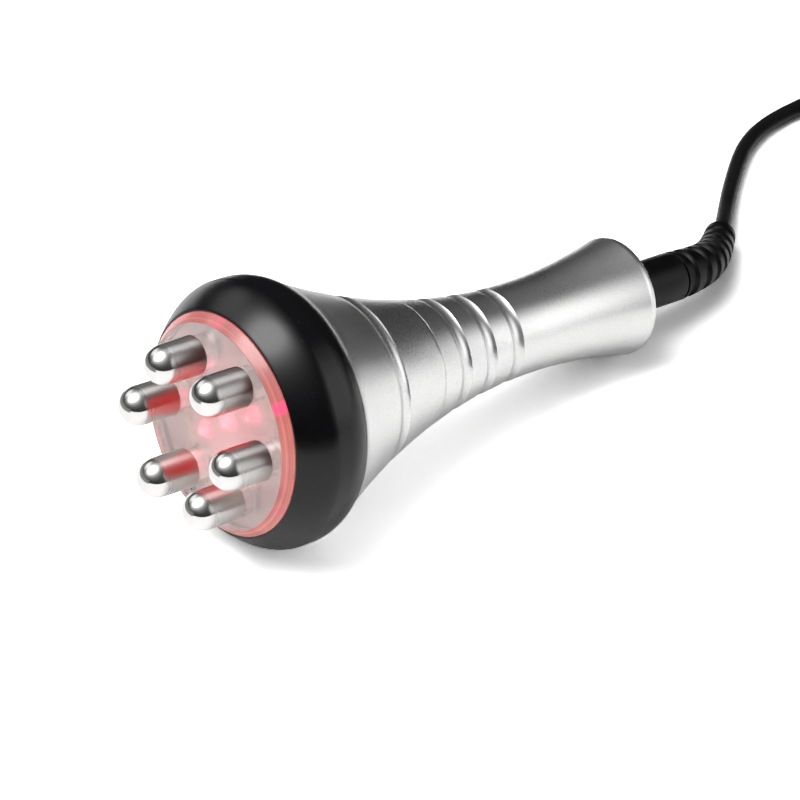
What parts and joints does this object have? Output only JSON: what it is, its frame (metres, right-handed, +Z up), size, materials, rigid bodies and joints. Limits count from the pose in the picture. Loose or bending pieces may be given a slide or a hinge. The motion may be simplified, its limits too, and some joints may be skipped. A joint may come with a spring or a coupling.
{
  "type": "beauty machine handpiece",
  "caption": "Handheld electrode and red-light handpiece with domed metal electrodes, silver waisted handle, ribbed strain relief and coiled cable with a round plug.",
  "frame": {"origin": "on the surface that the handpiece lies on, below the middle of the handpiece's box, measured without the strain relief, cable and plug", "axes": "+Z up; +X along the handpiece from its electrodes towards its cable; the plug points along -Y"},
  "size_m": [0.3363, 0.0992, 0.0678],
  "materials": {
    "bezel_black": "glossy moulded black",
    "clear_plate": "polished clear acrylic, edge lit red by the diodes",
    "gasket_white": "white foam tape",
    "electrode_metal": "mirror-polished plated metal",
    "screw_steel": "zinc-plated steel",
    "contact_brass": "dull brass strip",
    "terminal_tin": "tinned brass",
    "carrier_white": "moulded white plastic",
    "led_red": "lit red diode",
    "board_green": "green solder mask",
    "resistor_blue": "lacquered",
    "socket_ivory": "moulded nylon",
    "handle_silver": "satin silver metallic paint on moulded plastic",
    "wire_red": "insulated wire",
    "wire_black": "insulated wire and heat-shrink",
    "wire_yellow": "insulated wire",
    "cable_black": "satin black cable jacket",
    "relief_rubber": "matte black moulded rubber",
    "tie_nylon": "nylon cable tie",
    "strap_black": "hook-and-loop strap",
    "plug_metal": "nickel-plated metal",
    "insert_black": "moulded insulator",
    "contact_gold": "gold-plated contact"
  },
  "bodies": {
    "handpiece": {"bezel": "bezel_black", "front_plate": "clear_plate", "plate_gasket": "gasket_white", "electrode_1": "electrode_metal", "electrode_2": "electrode_metal", "electrode_3": "electrode_metal", "electrode_4": "electrode_metal", "electrode_5": "electrode_metal", "electrode_6": "electrode_metal", "electrode_screws": "screw_steel", "electrode_washers": "screw_steel", "contact_strip_a": "contact_brass", "contact_strip_b": "contact_brass", "carrier_disc": "carrier_white", "led_1": "led_red", "led_2": "led_red", "led_3": "led_red", "led_4": "led_red", "led_5": "led_red", "led_6": "led_red", "led_7": "led_red", "light_board": "board_green", "board_screws": "screw_steel", "led_resistors": "resistor_blue", "board_socket": "socket_ivory", "led_plug": "socket_ivory", "front_shell": "handle_silver", "rear_shell": "handle_silver", "wire_terminals": "terminal_tin", "rf_wire_a": "wire_red", "rf_wire_b": "wire_black", "led_wires": "wire_yellow", "heat_shrink": "wire_black", "inner_cable": "cable_black", "pull_tie": "tie_nylon", "strain_relief": "relief_rubber", "cord_run": "cable_black", "cord_coil": "cable_black", "coil_tie": "strap_black", "plug_bush": "relief_rubber", "plug_back_shell": "plug_metal", "plug_clamp": "plug_metal", "plug_clamp_screws": "screw_steel", "plug_shell": "plug_metal", "plug_insert": "insert_black", "plug_contacts": "contact_gold", "snap_ring": "screw_steel"},
    "coupling": {"coupling_ring": "plug_metal"}
  },
  "joints": [
    {"name": "coupling_turn", "type": "hinge", "parent": "handpiece", "child": "coupling", "pos_m": [0.25196, -0.04286, 0.0098], "axis": [0, -1, 0], "continuous": true}
  ]
}
